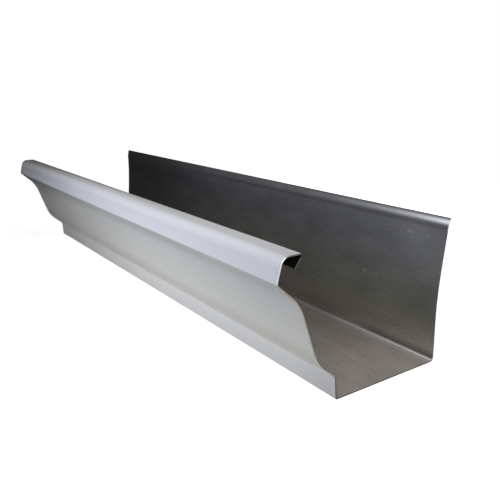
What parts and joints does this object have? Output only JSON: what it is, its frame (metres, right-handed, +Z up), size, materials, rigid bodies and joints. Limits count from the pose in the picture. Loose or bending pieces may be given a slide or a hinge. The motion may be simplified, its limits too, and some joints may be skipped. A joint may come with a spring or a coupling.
{
  "type": "gutter section",
  "caption": "Short length of eaves gutter with an ogee front, folded lip hook, flat bottom and leaning back wall, roll formed from painted sheet to carry rainwater.",
  "frame": {"origin": "on the floor under the middle of the outline, with the flat bottom at z = 0", "axes": "+X along the gutter, +Y towards the back wall that goes against the fascia, +Z up"},
  "size_m": [0.4572, 0.126, 0.0886],
  "materials": {
    "painted_sheet": "satin"
  },
  "bodies": {
    "root": {"gutter_section": "painted_sheet"}
  },
  "joints": []
}
